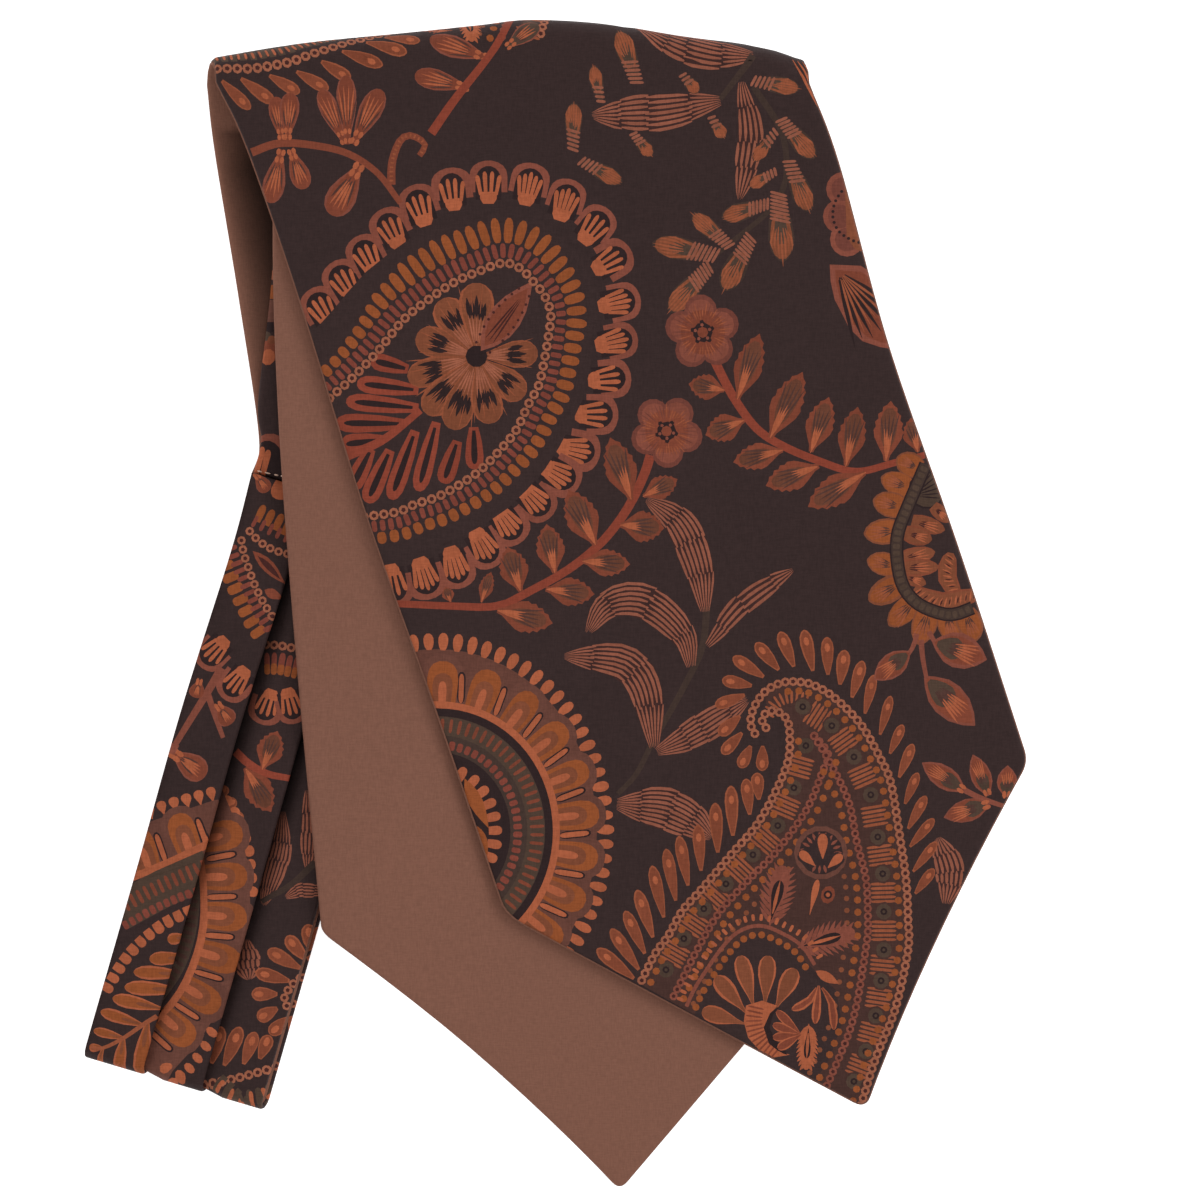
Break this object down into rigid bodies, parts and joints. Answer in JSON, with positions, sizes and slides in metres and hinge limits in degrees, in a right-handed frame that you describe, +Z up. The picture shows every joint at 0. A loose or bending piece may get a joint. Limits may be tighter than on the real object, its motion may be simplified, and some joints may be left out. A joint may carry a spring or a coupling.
{
  "type": "silk cravat",
  "caption": "Self-tie silk cravat folded in half and laid flat: wide pointed blades of printed shell and plain lining, joined by a pleated neckband.",
  "frame": {"origin": "middle of the outline of the laid cravat, on the surface that it lies on", "axes": "+Z up from the surface, +Y towards the soft top fold, +X to the right as seen from above"},
  "size_m": [0.269, 0.333, 0.0159],
  "materials": {
    "printed_silk": "soft sheen, printed paisley on dark brown",
    "plain_lining": "matt plain weave, dusty brown"
  },
  "bodies": {
    "root": {"blade_a_shell": "printed_silk", "blade_a_lining": "plain_lining", "blade_b_lining": "plain_lining", "blade_b_shell": "printed_silk", "neckband": "printed_silk"}
  },
  "joints": []
}
